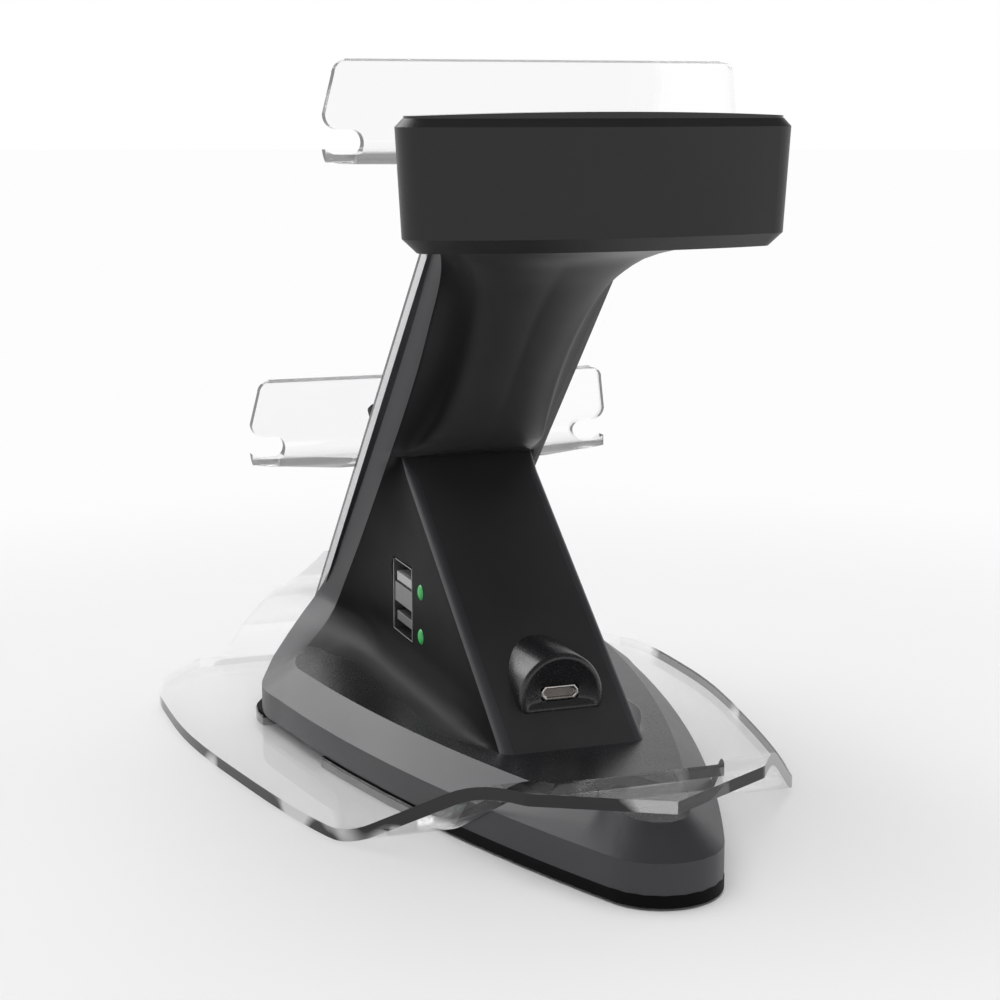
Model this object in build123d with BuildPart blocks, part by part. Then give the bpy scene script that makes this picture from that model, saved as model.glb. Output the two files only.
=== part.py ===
from build123d import *
from math import atan2, cos, degrees, radians, sin, tan
import os

os.makedirs("parts", exist_ok=True)

# A charging dock for two game controllers. It stands on the floor plane, its front faces -Y,
# and the plane X = 0 is its plane of symmetry. All sizes are in millimetres.

# Base, seen from above: a shield with a blunt front and a rounded tail
front_y = -84.0
front_half = 19.5
shoulder_half = 42.0
shoulder_y = -41.0
shoulder_radius = 14.0
front_corner_radius = 8.0
flank_half = 32.5
flank_y = 17.0
tail_radius = 11.3
tail_y = 89.0
tail_angle = 20.0
foot_height = 0.3
plate_height = 2.2
rim_height = 5.5
shoulder_height = 5.0
shoulder_run = 6.0

# Tower: it leans back from the front, and carries the panel on its front face
lean = 44.4
lean_foot_y = -91.0
panel_half = 20.0
panel_thickness = 1.0
frame_thickness = 2.5
frame_draft = 1.3
panel_ledge_z = 18.0
panel_drop = 1.8
window_half = 15.5
window_margin = 2.0

# Ramp on the tower's back, which holds the sockets
ramp_half = 14.2
ramp_top_y = -21.8
ramp_top_z = 58.4
ramp_foot_y = 40.3
ramp_edge = 1.8

# Head: a slab across the top of the tower
head_bottom_z = 105.5
head_top_z = 127.8
head_half = 36.3
head_side = 17.4
head_depth = 24.3
head_draft = 3.2
head_front_half = 21.0
head_front = -28.1
head_corner_radius = 5.0
head_lower_bevel = 2.4
head_upper_bevel = 1.4
head_wall = 2.4
lid_thickness = 1.6
lid_crown = 1.1
lid_edge = 0.3

# Charging inlet: a round boss with a flat underside
boss_radius = 8.4
boss_z = 20.8
boss_flat_z = 17.6
boss_face_y = 33.2
boss_dish = 1.2
inlet_z = 21.4
inlet_width = 7.6
inlet_height = 2.9
inlet_depth = 6.0
shell_wall = 0.3

# Stacked sockets and lamps in the ramp's two sides
socket_y = -22.2
socket_z = 28.3
socket_width = 13.4
socket_height = 15.8
socket_wall = 0.4
socket_proud = 0.2
slot_width = 12.2
slot_height = 5.2
slot_pitch = 7.6
tongue_width = 11.0
tongue_height = 1.9
tongue_length = 9.0
tongue_rise = 0.8
socket_board_half = 0.8
lamp_y = -9.7
lamp_zs = (23.2, 32.5)
lamp_radius = 1.6
lamp_depth = 6.0
lamp_proud = 0.4

# Clear cradles: a lip, a bend and a shelf that goes into the panel. The bend is narrower than
# the lip, so a rounded notch at each end leaves a small ear below it
sheet = 2.2
shelf_drop = 7.1
lip_lean = 0.9
lip_rise = 17.2
lip_reach = 6.0
lip_foot_rise = 5.0
lip_foot_reach = 8.8
lip_top_half = 39.0
lip_foot_half = 40.4
lip_corner = 2.4
foot_corner = 2.8
bend_radius = 3.4
notch_x = 33.1
notch_round = 1.9
notch_rise = 0.6
ear_rise = 1.5
ear_run = 2.0
ear_reach = 8.2
neck_half = 34.0
neck_reach = 6.2
shelf_half = 21.0
tongue_half = 10.0
tongue_depth = 2.8
cradle_pitch = 91.5

# Clear tray: a floor sheet round the base with a flap up to the tower and a shelf over the tail
tray_thickness = 2.2
tray_front_y = -89.0
tray_front_half = 41.0
tray_side = [
    (50.0, -79.6), (57.8, -66.6), (59.8, -48.0), (59.6, -33.0), (54.8, 1.0), (49.3, 26.7), (46.3, 36.8),
]
tray_corner = (44.7, 41.2)
tray_shelf_half = 22.0
tray_shelf_y = 73.5
tray_tip_y = 85.6
tray_shelf_z = 16.3
tray_ramp_foot_y = 41.8
tray_ramp_head_y = 65.2
tray_ramp_bend = 19.0
tray_floor_end_y = 30.0
tray_opening_y = 70.0
tray_gap = 0.4
flap_bend = 3.2
flap_knee_z = 7.7
flap_line = [(-78.0, 18.3), (-70.2, 22.7), (-60.5, 30.6)]
flap_curve = 8.0
flap_foot = 40.0
flap_foot_z = 0.8
flap_splay = 2.0
flap_half = 20.7
flap_sides = [
    (37.4, 4.0), (34.6, 8.0), (32.4, 12.4), (30.4, 16.0), (28.0, 19.2), (26.0, 21.7), (24.0, 24.5),
]
flap_top_z = 31.0
tab_ends_y = (-35.0, -3.0)
tab_x = 33.5

# Charging boards behind the panel, and the plugs that they carry
board_rises = (10.7, -15.3)
board_width = 22.0
board_length = 16.0
board_thickness = 1.2
board_well = 4.0
plug_block = (11.0, 6.0)
plug_block_proud = 1.2
plug_size = (6.8, 1.8)
plug_length = 5.0
duct_half = 7.0
duct_foot_z = 12.0
pad_x = 17.4
pad_z = 65.0
pad_radius = 1.7
pad_height = 4.4

# Base: plate, feet, screws, weight and main board
foot_places = [(24.0, -60.0), (-24.0, -60.0), (9.5, 67.0), (-9.5, 67.0)]
foot_radius = 4.5
foot_pad = 1.3
screw_places = [(25.0, -40.0), (-25.0, -40.0), (12.0, 50.0), (-12.0, 50.0)]
screw_radius = 1.4
screw_head_radius = 2.7
screw_head = 1.3
post_radius = 3.2
weight_size = (38.0, 28.0, 5.0)
weight_y = -18.0
main_board_size = (22.0, 34.0, 1.2)
main_board_y = 22.0
stand_off = 2.6
stand_off_side = 3.2
head_screw_x = 9.0
head_screw_length = 6.0

# Clearances, and the reach of a cut that runs right through a piece
fit = 0.1
gap = 0.3
reach = 200.0

# Sizes that follow from those above
plate_top = foot_height + plate_height
rim_top = plate_top + rim_height
base_top = rim_top + shoulder_height
slope = tan(radians(lean))
skin = panel_thickness + frame_thickness
head_growth = (head_top_z - head_bottom_z) * tan(radians(head_draft))
front_plane = Plane(
    origin=(0, lean_foot_y, 0), x_dir=(1, 0, 0), z_dir=(0, -cos(radians(lean)), sin(radians(lean)))
)


def face_y(z, depth=0.0):
    """The place in Y of the tower's front at a height, a depth below its outer face."""
    return lean_foot_y + z * slope + depth / cos(radians(lean))


def up(z):
    """The distance up the leaning face at which it reaches a height."""
    return z / cos(radians(lean))


# Places that follow the leaning face, from the head's top downwards
panel_top_z = head_top_z - panel_drop
shelf_z = head_top_z - shelf_drop
cradle_drop_y = cradle_pitch * sin(radians(lean))
cradle_drop_z = cradle_pitch * cos(radians(lean))
board_heights = [shelf_z - cradle_drop_z + rise for rise in board_rises]
head_side_y = face_y(head_top_z) + head_side
head_back_y = face_y(head_top_z) + head_depth
head_front_y = face_y(head_top_z) + head_front
lip_top_y = face_y(shelf_z) - lip_reach
lip_foot_y = face_y(shelf_z) - lip_foot_reach
lip_top_z = shelf_z + lip_rise
lip_foot_z = shelf_z + lip_foot_rise
notch_z = shelf_z + notch_rise
ear_end_z = shelf_z + ear_rise
ear_y = face_y(shelf_z) - ear_reach
neck_y = face_y(shelf_z) - neck_reach


def base_outline():
    """Half the base's outline, mirrored: blunt front, diagonal shoulders, long flanks, round tail."""
    tail_centre = tail_y - tail_radius
    tail_x = tail_radius * cos(radians(tail_angle))
    tail_join = tail_centre + tail_radius * sin(radians(tail_angle))
    half_way = radians((90 + tail_angle) / 2)
    Line((0, front_y), (front_half, front_y))
    Line((front_half, front_y), (shoulder_half, shoulder_y))
    ThreePointArc((shoulder_half, shoulder_y), (flank_half, flank_y), (tail_x, tail_join))
    ThreePointArc(
        (tail_x, tail_join),
        (tail_radius * cos(half_way), tail_centre + tail_radius * sin(half_way)),
        (0, tail_y),
    )
    mirror(about=Plane.YZ)


def base_sketch(height, inset=0.0):
    """The base's outline as a face at a height, drawn in by an inset."""
    with BuildSketch(Plane.XY.offset(height)) as outline:
        with BuildLine():
            base_outline()
        make_face()
        corners = outline.vertices()
        fillet(corners.group_by(Axis.X)[0] + corners.group_by(Axis.X)[-1], shoulder_radius)
        fillet(outline.vertices().group_by(Axis.Y)[0], front_corner_radius)
        if inset:
            offset(amount=-inset, kind=Kind.INTERSECTION, mode=Mode.REPLACE)
    return outline.sketch


def ring(points):
    """A closed face through half a section's points and their mirror images."""
    other = [(-x, y) for x, y in reversed(points)]
    Polyline(points + other, close=True)


# Sections of the tower: height, the front corner's half width, then the ridge, the inner edge
# of the band behind it, and the back corner
tower_sections = [
    (8.0, 15.0, (38.2, -45.5), (33.0, -39.0), (26.0, -4.0)),
    (11.0, 16.8, (34.2, -53.4), (29.0, -45.5), (20.0, -12.0)),
    (15.0, 18.8, (27.0, -62.0), (22.6, -52.5), (15.5, -19.0)),
    (19.0, 19.8, (22.2, -67.0), (19.2, -58.2), (14.0, -23.0)),
    (24.0, 20.0, (20.0, -63.6), (17.8, -56.2), (13.8, -24.0)),
    (36.0, 20.0, (19.2, -50.9), (17.1, -45.0), (13.6, -23.5)),
    (58.0, 20.0, (18.8, -28.9), (16.6, -23.6), (12.2, -14.8)),
    (69.0, 20.0, (18.7, -18.1), (16.4, -13.0), (9.0, -1.6)),
    (80.0, 20.0, (18.7, -7.3), (16.5, -2.4), (7.7, 8.4)),
    (90.0, 20.0, (18.8, 2.5), (17.0, 7.0), (8.4, 17.9)),
    (96.0, 20.0, (19.0, 8.2), (17.4, 12.8), (10.4, 25.0)),
    (100.0, 20.0, (19.3, 11.2), (17.9, 16.2), (13.4, 31.3)),
    (103.0, 20.0, (19.7, 12.9), (18.6, 18.0), (17.8, 37.7)),
    (106.0, 20.0, (20.1, 14.0), (19.8, 19.4), (25.0, 53.3)),
]

# Sizes of the hollow base
ramp_rise = (ramp_foot_y - ramp_top_y) / (ramp_top_z - base_top)
cavity_top = base_top - 2.4
cavity_inset = 7.0
head_floor = head_bottom_z + head_wall
head_screw_y = face_y(head_floor + screw_head, skin + head_wall) + screw_head_radius + gap

with BuildPart() as shoulder:
    add(base_sketch(rim_top))
    extrude(amount=shoulder_height, taper=degrees(atan2(shoulder_run, shoulder_height)))

with BuildPart() as tower:
    for z, corner, ridge, band, back in tower_sections:
        with BuildSketch(Plane.XY.offset(z)):
            with BuildLine():
                ring([(corner, face_y(z)), ridge, band, back])
            make_face()
    loft(ruled=True)

with BuildPart() as ramp:
    with BuildSketch(Plane.YZ):
        with BuildLine():
            Polyline(
                (ramp_top_y - 34.0, rim_top),
                (ramp_foot_y, rim_top),
                (ramp_foot_y, base_top),
                (ramp_top_y, ramp_top_z),
                (ramp_top_y - 4.0, ramp_top_z),
                close=True,
            )
        make_face()
    extrude(amount=ramp_half, both=True)
    slant = ramp.faces().sort_by(Axis.Y)[-2:].sort_by(Axis.Z)[-1]
    chamfer(slant.edges().filter_by(lambda e: abs(e.tangent_at(0.5).X) < 0.1), length=ramp_edge)

boss_plane = Plane(origin=(0, boss_face_y, 0), x_dir=(-1, 0, 0), z_dir=(0, 1, 0))
boss_length = (boss_z + boss_radius - base_top) * ramp_rise + 8.0

with BuildPart() as boss:
    with BuildSketch(boss_plane):
        with Locations((0, boss_z)):
            Circle(boss_radius)
        with Locations((0, boss_flat_z)):
            Rectangle(4 * boss_radius, 2 * boss_radius, align=(Align.CENTER, Align.MAX), mode=Mode.SUBTRACT)
    extrude(amount=-boss_length)


def inlet_profile(clearance):
    """A flat-topped slot with its two lower corners cut off, as such a charging inlet has."""
    half = inlet_width / 2 + clearance
    top = inlet_height / 2 + clearance
    cut = inlet_height / 2
    Polyline(
        (-half, inlet_z + top),
        (half, inlet_z + top),
        (half, inlet_z),
        (half - cut, inlet_z - top),
        (cut - half, inlet_z - top),
        (-half, inlet_z),
        close=True,
    )


with BuildPart() as housing:
    add(base_sketch(plate_top))
    extrude(amount=rim_height)
    add(shoulder.part)
    add(tower.part)
    add(ramp.part)
    add(boss.part)
    with BuildSketch(front_plane.offset(-skin)):
        with Locations((0, up(panel_ledge_z))):
            Rectangle(4 * panel_half, 2 * up(panel_top_z), align=(Align.CENTER, Align.MIN))
    extrude(amount=40, mode=Mode.SUBTRACT)
    # The neck stops at the underside of the head
    with BuildSketch(Plane.XY.offset(head_bottom_z)):
        Rectangle(200, 300)
    extrude(amount=20, mode=Mode.SUBTRACT)
    # The hollow base, closed from below by its plate, with a post for each screw
    with BuildSketch(Plane.XY.offset(plate_top)):
        add(base_sketch(0, inset=cavity_inset))
        with Locations(*screw_places):
            Circle(post_radius, mode=Mode.SUBTRACT)
    extrude(amount=cavity_top - plate_top, mode=Mode.SUBTRACT)
    with BuildSketch(Plane.XY.offset(plate_top)):
        with Locations(*screw_places):
            Circle(screw_radius + fit)
    extrude(amount=rim_height, mode=Mode.SUBTRACT)
    # The wells behind the panel for the two charging boards, and the duct for their leads
    with BuildSketch(front_plane.offset(-skin)):
        for z in board_heights:
            with Locations((0, up(z))):
                Rectangle(board_width + 2 * gap, board_length + 2 * gap)
        with Locations((0, up(duct_foot_z))):
            Rectangle(2 * duct_half, up(board_heights[0] - duct_foot_z), align=(Align.CENTER, Align.MIN))
    extrude(amount=-board_well, mode=Mode.SUBTRACT)
    # Openings for the charging inlet, the stacked sockets and the lamps
    with BuildSketch(boss_plane):
        with BuildLine():
            inlet_profile(fit)
        make_face()
    extrude(amount=-inlet_depth - gap, mode=Mode.SUBTRACT)
    with BuildSketch(boss_plane.offset(-boss_dish)):
        with Locations((0, boss_z)):
            Circle(boss_radius - 2.2)
        with Locations((0, boss_flat_z + 1.2)):
            Rectangle(4 * boss_radius, 2 * boss_radius, align=(Align.CENTER, Align.MAX), mode=Mode.SUBTRACT)
    extrude(amount=2 * boss_dish, mode=Mode.SUBTRACT)
    with BuildSketch(Plane.YZ):
        with Locations((socket_y, socket_z)):
            Rectangle(socket_width + 2 * fit, socket_height + 2 * fit)
    extrude(amount=2 * ramp_half, both=True, mode=Mode.SUBTRACT)
    for side in (1, -1):
        with BuildSketch(Plane(origin=(side * ramp_half, 0, 0), x_dir=(0, side, 0), z_dir=(side, 0, 0))):
            for lamp_z in lamp_zs:
                with Locations((side * lamp_y, lamp_z)):
                    Circle(lamp_radius + fit)
        extrude(amount=-lamp_depth - gap, mode=Mode.SUBTRACT)
    # Blind holes for the two screws of the head
    with BuildSketch(Plane.XY.offset(head_bottom_z)):
        with Locations((head_screw_x, head_screw_y), (-head_screw_x, head_screw_y)):
            Circle(screw_radius + fit)
    extrude(amount=-head_screw_length, mode=Mode.SUBTRACT)

with BuildPart() as head_shell:
    with BuildSketch(Plane.XY.offset(head_bottom_z)) as head_plan:
        with BuildLine():
            Line((0, head_front_y), (head_front_half, head_front_y))
            Line((head_front_half, head_front_y), (head_half, head_side_y))
            ThreePointArc((head_half, head_side_y), (0, head_back_y), (-head_half, head_side_y))
            Line((-head_half, head_side_y), (-head_front_half, head_front_y))
            Line((-head_front_half, head_front_y), (0, head_front_y))
        make_face()
        fillet(head_plan.vertices().group_by(Axis.Y)[-1], head_corner_radius)
    extrude(amount=head_top_z - head_bottom_z, taper=-head_draft)
    split(bisect_by=Plane.YZ)
    mirror(about=Plane.YZ)
    rims = head_shell.edges().filter_by(lambda e: e.center().Y > head_front_y + 1).group_by(Axis.Z)
    chamfer(rims[0], length=head_lower_bevel)
    chamfer(rims[-1], length=head_upper_bevel)
    with BuildSketch(front_plane.offset(-skin)):
        Rectangle(4 * head_half, 4 * up(panel_top_z))
    extrude(amount=60, mode=Mode.SUBTRACT)
    # Holes for the two screws that hold it to the neck
    with BuildSketch(Plane.XY.offset(head_bottom_z)):
        with Locations((head_screw_x, head_screw_y), (-head_screw_x, head_screw_y)):
            Circle(screw_radius + fit)
    extrude(amount=head_wall, mode=Mode.SUBTRACT)

with BuildPart() as head_room:
    with BuildSketch(Plane.XY.offset(head_floor)):
        add(head_plan.sketch)
        offset(amount=-head_wall - head_upper_bevel, kind=Kind.INTERSECTION, mode=Mode.REPLACE)
    extrude(amount=head_top_z - head_floor + lid_crown)
    with BuildSketch(front_plane.offset(-skin - head_wall)):
        Rectangle(4 * head_half, 4 * up(panel_top_z))
    extrude(amount=60, mode=Mode.SUBTRACT)

with BuildPart() as head_case:
    add(head_shell.part)
    add(head_room.part, mode=Mode.SUBTRACT)

lid_half = head_half + head_growth
lid_edge_z = head_top_z + lid_edge

with BuildPart() as head_lid:
    with BuildSketch(Plane.XY.offset(head_top_z)):
        add(head_plan.sketch)
        offset(amount=head_growth - head_upper_bevel - fit, kind=Kind.INTERSECTION, mode=Mode.REPLACE)
    extrude(amount=2 * lid_crown)
    with BuildSketch(Plane.XY.offset(head_top_z)):
        add(head_plan.sketch)
        offset(amount=-head_wall - head_upper_bevel - fit, kind=Kind.INTERSECTION, mode=Mode.REPLACE)
    extrude(amount=-lid_thickness)
    with BuildSketch(front_plane.offset(-skin - head_wall - fit)):
        Rectangle(4 * head_half, 4 * up(panel_top_z))
    extrude(amount=60, mode=Mode.SUBTRACT)
    # Its top is crowned from side to side
    with BuildSketch(Plane.XZ):
        with BuildLine():
            ThreePointArc((-lid_half, lid_edge_z), (0, head_top_z + lid_crown), (lid_half, lid_edge_z))
            Polyline(
                (lid_half, lid_edge_z),
                (lid_half, head_floor),
                (-lid_half, head_floor),
                (-lid_half, lid_edge_z),
            )
        make_face()
    extrude(amount=2 * head_back_y, both=True, mode=Mode.INTERSECT)

with BuildPart() as head_screws:
    with BuildSketch(Plane.XY.offset(head_floor)):
        with Locations((head_screw_x, head_screw_y), (-head_screw_x, head_screw_y)):
            Circle(screw_head_radius)
    extrude(amount=screw_head)
    with BuildSketch(Plane.XY.offset(head_floor)):
        with Locations((head_screw_x, head_screw_y), (-head_screw_x, head_screw_y)):
            Circle(screw_radius)
    extrude(amount=gap - head_wall - head_screw_length)

panel_low = up(panel_ledge_z) + fit
panel_high = up(panel_top_z)
panel_length = panel_high - panel_low
window_length = panel_length - 2 * window_margin

with BuildPart() as front_frame:
    with BuildSketch(front_plane.offset(-skin)):
        with Locations((0, panel_low)):
            Rectangle(2 * (panel_half - frame_draft), panel_length, align=(Align.CENTER, Align.MIN))
    with BuildSketch(front_plane.offset(-panel_thickness)):
        with Locations((0, panel_low)):
            Rectangle(2 * panel_half, panel_length, align=(Align.CENTER, Align.MIN))
    loft(ruled=True)
    with BuildSketch(front_plane):
        with Locations((0, panel_low + window_margin)):
            Rectangle(2 * window_half, window_length, align=(Align.CENTER, Align.MIN))
    extrude(amount=-20, mode=Mode.SUBTRACT)

with BuildPart() as front_panel:
    with BuildSketch(front_plane):
        with Locations((0, panel_low)):
            Rectangle(2 * panel_half, panel_length, align=(Align.CENTER, Align.MIN))
        for z in board_heights:
            with Locations((0, up(z))):
                Rectangle(plug_block[0] + 2 * fit, plug_block[1] + 2 * fit, mode=Mode.SUBTRACT)
    extrude(amount=-panel_thickness)
    # Slots for the tongues of the cradles
    with BuildSketch(Plane.XZ):
        with Locations((0, shelf_z), (0, shelf_z - cradle_drop_z)):
            Rectangle(2 * (tongue_half + fit), sheet + 2 * fit)
    extrude(amount=100, both=True, mode=Mode.SUBTRACT)


def charge_board(z):
    """A small board that stands in its well behind the panel."""
    with BuildPart() as board:
        with BuildSketch(front_plane.offset(-skin - board_well)):
            with Locations((0, up(z))):
                Rectangle(board_width, board_length)
        extrude(amount=board_thickness)
        with BuildSketch(front_plane.offset(-skin - board_well + board_thickness)):
            with Locations((-7.6, up(z) + 3.5), (7.6, up(z) + 3.5)):
                Rectangle(3.4, 4.6)
        extrude(amount=1.1)
    return board.part


def plug(z):
    """A charging plug: its block on the board, through the panel, and the metal tip before it."""
    reach = skin + board_well - board_thickness
    with BuildPart() as body:
        with BuildSketch(front_plane.offset(-reach)):
            with Locations((0, up(z))):
                Rectangle(*plug_block)
        extrude(amount=reach + plug_block_proud)
        fillet(body.faces().sort_by(Axis.Y)[0].edges(), 0.5)
        with BuildSketch(front_plane.offset(plug_block_proud)):
            with Locations((0, up(z))):
                Rectangle(*plug_size)
        extrude(amount=plug_length)
    return body.part


with BuildPart() as charge_board_upper:
    add(charge_board(board_heights[0]))

with BuildPart() as charge_board_lower:
    add(charge_board(board_heights[1]))

with BuildPart() as upper_plug:
    add(plug(board_heights[0]))

with BuildPart() as lower_plug:
    add(plug(board_heights[1]))

with BuildPart() as grip_pads:
    with BuildSketch(front_plane):
        with Locations((pad_x, up(pad_z)), (-pad_x, up(pad_z))):
            Circle(pad_radius)
    extrude(amount=pad_height)
    pad_ends = grip_pads.faces().sort_by(Axis(front_plane.origin, front_plane.z_dir))[-2:]
    chamfer(pad_ends.edges(), length=0.6)

with BuildPart() as inlet_shell:
    with BuildSketch(boss_plane):
        with BuildLine():
            inlet_profile(0)
        make_face()
        with BuildLine():
            inlet_profile(-shell_wall)
        make_face(mode=Mode.SUBTRACT)
    extrude(amount=-inlet_depth)
    with BuildSketch(boss_plane.offset(-inlet_depth)):
        with BuildLine():
            inlet_profile(0)
        make_face()
    extrude(amount=shell_wall)

with BuildPart() as inlet_tongue:
    with BuildSketch(boss_plane.offset(shell_wall - inlet_depth)):
        with Locations((0, inlet_z + 0.2)):
            Rectangle(inlet_width - 3.4, 0.8)
    extrude(amount=inlet_depth - shell_wall - 1.0)

socket_length = ramp_half + socket_proud - socket_board_half

with BuildPart() as socket_board:
    with BuildSketch(Plane.YZ):
        with Locations((socket_y, socket_z)):
            Rectangle(socket_width, socket_height)
    extrude(amount=socket_board_half, both=True)


def socket_plane(side, x):
    """A plane across the sockets of one side, at a distance from the middle."""
    return Plane(origin=(side * x, 0, 0), x_dir=(0, side, 0), z_dir=(side, 0, 0))


def socket_shell(side):
    """A metal shell with two openings, one above the other, closed at its inner end."""
    slots = [(side * socket_y, socket_z + slot_pitch / 2), (side * socket_y, socket_z - slot_pitch / 2)]
    with BuildPart() as shell:
        with BuildSketch(socket_plane(side, socket_board_half)):
            with Locations((side * socket_y, socket_z)):
                Rectangle(socket_width, socket_height)
        extrude(amount=socket_length)
        with BuildSketch(socket_plane(side, socket_board_half + socket_wall)):
            with Locations(*slots):
                Rectangle(slot_width, slot_height)
        extrude(amount=socket_length, mode=Mode.SUBTRACT)
    return shell.part


def socket_tongues(side):
    """The two contact tongues inside a shell."""
    upper_z = socket_z + slot_pitch / 2 + tongue_rise
    rows = [(side * socket_y, upper_z), (side * socket_y, upper_z - slot_pitch)]
    with BuildPart() as tongues:
        with BuildSketch(socket_plane(side, socket_board_half + socket_wall)):
            with Locations(*rows):
                Rectangle(tongue_width, tongue_height)
        extrude(amount=tongue_length)
    return tongues.part


def lamps(side):
    """Two lamps with domed ends, one for each socket."""
    with BuildPart() as pair:
        with BuildSketch(socket_plane(side, ramp_half - lamp_depth)):
            with Locations(*[(side * lamp_y, z) for z in lamp_zs]):
                Circle(lamp_radius)
        extrude(amount=lamp_depth + lamp_proud)
        ends = pair.faces().filter_by(Axis.X).filter_by(lambda f: abs(f.center().X) > ramp_half)
        chamfer(ends.edges(), length=lamp_proud)
    return pair.part


with BuildPart() as socket_shell_left:
    add(socket_shell(1))

with BuildPart() as socket_shell_right:
    add(socket_shell(-1))

with BuildPart() as socket_tongues_left:
    add(socket_tongues(1))

with BuildPart() as socket_tongues_right:
    add(socket_tongues(-1))

with BuildPart() as lamps_left:
    add(lamps(1))

with BuildPart() as lamps_right:
    add(lamps(-1))

with BuildPart() as base_plate:
    add(base_sketch(foot_height))
    extrude(amount=plate_height)
    # Notches for the tabs of the tray
    tab_y = (tab_ends_y[0] + tab_ends_y[1]) / 2
    tab_length = tab_ends_y[1] - tab_ends_y[0]
    with BuildSketch(Plane.XY.offset(foot_height)):
        with Locations((tab_x, tab_y)):
            Rectangle(20, tab_length, align=(Align.MIN, Align.CENTER))
        with Locations((-tab_x, tab_y)):
            Rectangle(20, tab_length, align=(Align.MAX, Align.CENTER))
    extrude(amount=plate_height, mode=Mode.SUBTRACT)
    with BuildSketch(Plane.XY.offset(foot_height)):
        with Locations(*foot_places):
            Circle(foot_radius + fit)
        with Locations(*screw_places):
            Circle(screw_head_radius + fit)
    extrude(amount=foot_pad - foot_height, mode=Mode.SUBTRACT)
    with BuildSketch(Plane.XY.offset(foot_height)):
        with Locations(*screw_places):
            Circle(screw_radius + fit)
    extrude(amount=plate_height, mode=Mode.SUBTRACT)
    # Stand-offs for the main board
    with BuildSketch(Plane.XY.offset(plate_top)):
        with Locations((0, main_board_y)):
            with GridLocations(main_board_size[0] - 5, main_board_size[1] - 5, 2, 2):
                Rectangle(stand_off_side, stand_off_side)
    extrude(amount=stand_off)

with BuildPart() as rubber_feet:
    with BuildSketch():
        with Locations(*foot_places):
            Circle(foot_radius)
    extrude(amount=foot_pad)

with BuildPart() as base_screws:
    with BuildSketch(Plane.XY.offset(foot_pad)):
        with Locations(*screw_places):
            Circle(screw_head_radius)
    extrude(amount=-0.6)
    with BuildSketch(Plane.XY.offset(foot_pad)):
        with Locations(*screw_places):
            Circle(screw_radius)
    extrude(amount=rim_top - foot_pad - gap)

with BuildPart() as base_weight:
    with BuildSketch(Plane.XY.offset(plate_top)):
        with Locations((0, weight_y)):
            RectangleRounded(weight_size[0], weight_size[1], 3)
    extrude(amount=weight_size[2])

with BuildPart() as main_board:
    with BuildSketch(Plane.XY.offset(plate_top + stand_off)):
        with Locations((0, main_board_y)):
            Rectangle(main_board_size[0], main_board_size[1])
    extrude(amount=main_board_size[2])
    with BuildSketch(Plane.XY.offset(plate_top + stand_off + main_board_size[2])):
        with Locations((0, main_board_y + 4)):
            Rectangle(7, 7)
        with Locations((-6, main_board_y - 9), (6, main_board_y - 9)):
            Rectangle(4, 6)
    extrude(amount=1.6)

with BuildPart() as upper_cradle:
    with BuildSketch(Plane.YZ) as cradle_profile:
        with BuildLine() as cradle_line:
            Polyline(
                (lip_top_y - sheet / 2, lip_top_z),
                (lip_foot_y - sheet / 2 - lip_lean, shelf_z),
                (face_y(shelf_z, 2 * tongue_depth), shelf_z),
            )
            fillet(cradle_line.vertices().sort_by(Axis.Z)[:2].sort_by(Axis.Y)[:1], bend_radius)
        trace(line_width=sheet)
    extrude(amount=lip_foot_half, both=True)
    # The rounded ends of the lip, and the notch below each
    with BuildSketch(Plane.XZ):
        with BuildLine():
            Polyline(
                (reach, lip_top_z + sheet),
                (lip_top_half - lip_corner, lip_top_z + sheet),
                (lip_top_half - lip_corner, lip_top_z),
            )
            CenterArc((lip_top_half - lip_corner, lip_top_z - lip_corner), lip_corner, 90, -90)
            Line((lip_top_half, lip_top_z - lip_corner), (lip_foot_half, lip_foot_z + foot_corner))
            CenterArc((lip_foot_half - foot_corner, lip_foot_z + foot_corner), foot_corner, 0, -90)
            Line((lip_foot_half - foot_corner, lip_foot_z), (notch_x + notch_round, lip_foot_z))
            ThreePointArc(
                (notch_x + notch_round, lip_foot_z),
                (notch_x, (lip_foot_z + notch_z) / 2),
                (notch_x + notch_round, notch_z),
            )
            Polyline(
                (notch_x + notch_round, notch_z),
                (lip_foot_half - ear_run, notch_z),
                (lip_foot_half, ear_end_z),
                (reach, ear_end_z),
                (reach, lip_top_z + sheet),
            )
        make_face()
        mirror(about=Plane.YZ)
    extrude(amount=reach, both=True, mode=Mode.SUBTRACT)
    # The shelf narrows towards the panel
    with BuildSketch(Plane.XY.offset(shelf_z - sheet)):
        for side in (1, -1):
            with BuildLine():
                Polyline(
                    (side * reach, ear_y),
                    (side * lip_foot_half, ear_y),
                    (side * neck_half, neck_y),
                    (side * shelf_half, face_y(shelf_z, fit)),
                    (side * shelf_half, reach),
                    (side * reach, reach),
                    close=True,
                )
            make_face()
    extrude(amount=2 * sheet, mode=Mode.SUBTRACT)
    # Only the tongue goes through the panel
    with BuildSketch(front_plane):
        for side in (1, -1):
            with Locations((side * (tongue_half + reach / 2), up(shelf_z))):
                Rectangle(reach, reach)
    extrude(amount=-reach, mode=Mode.SUBTRACT)
    with BuildSketch(front_plane.offset(-tongue_depth)):
        with Locations((0, up(shelf_z))):
            Rectangle(reach, reach)
    extrude(amount=-reach, mode=Mode.SUBTRACT)

with BuildPart() as middle_cradle:
    add(upper_cradle.part.moved(Location((0, -cradle_drop_y, -cradle_drop_z))))

tray_reach = 2 * tray_side[2][0]

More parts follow.
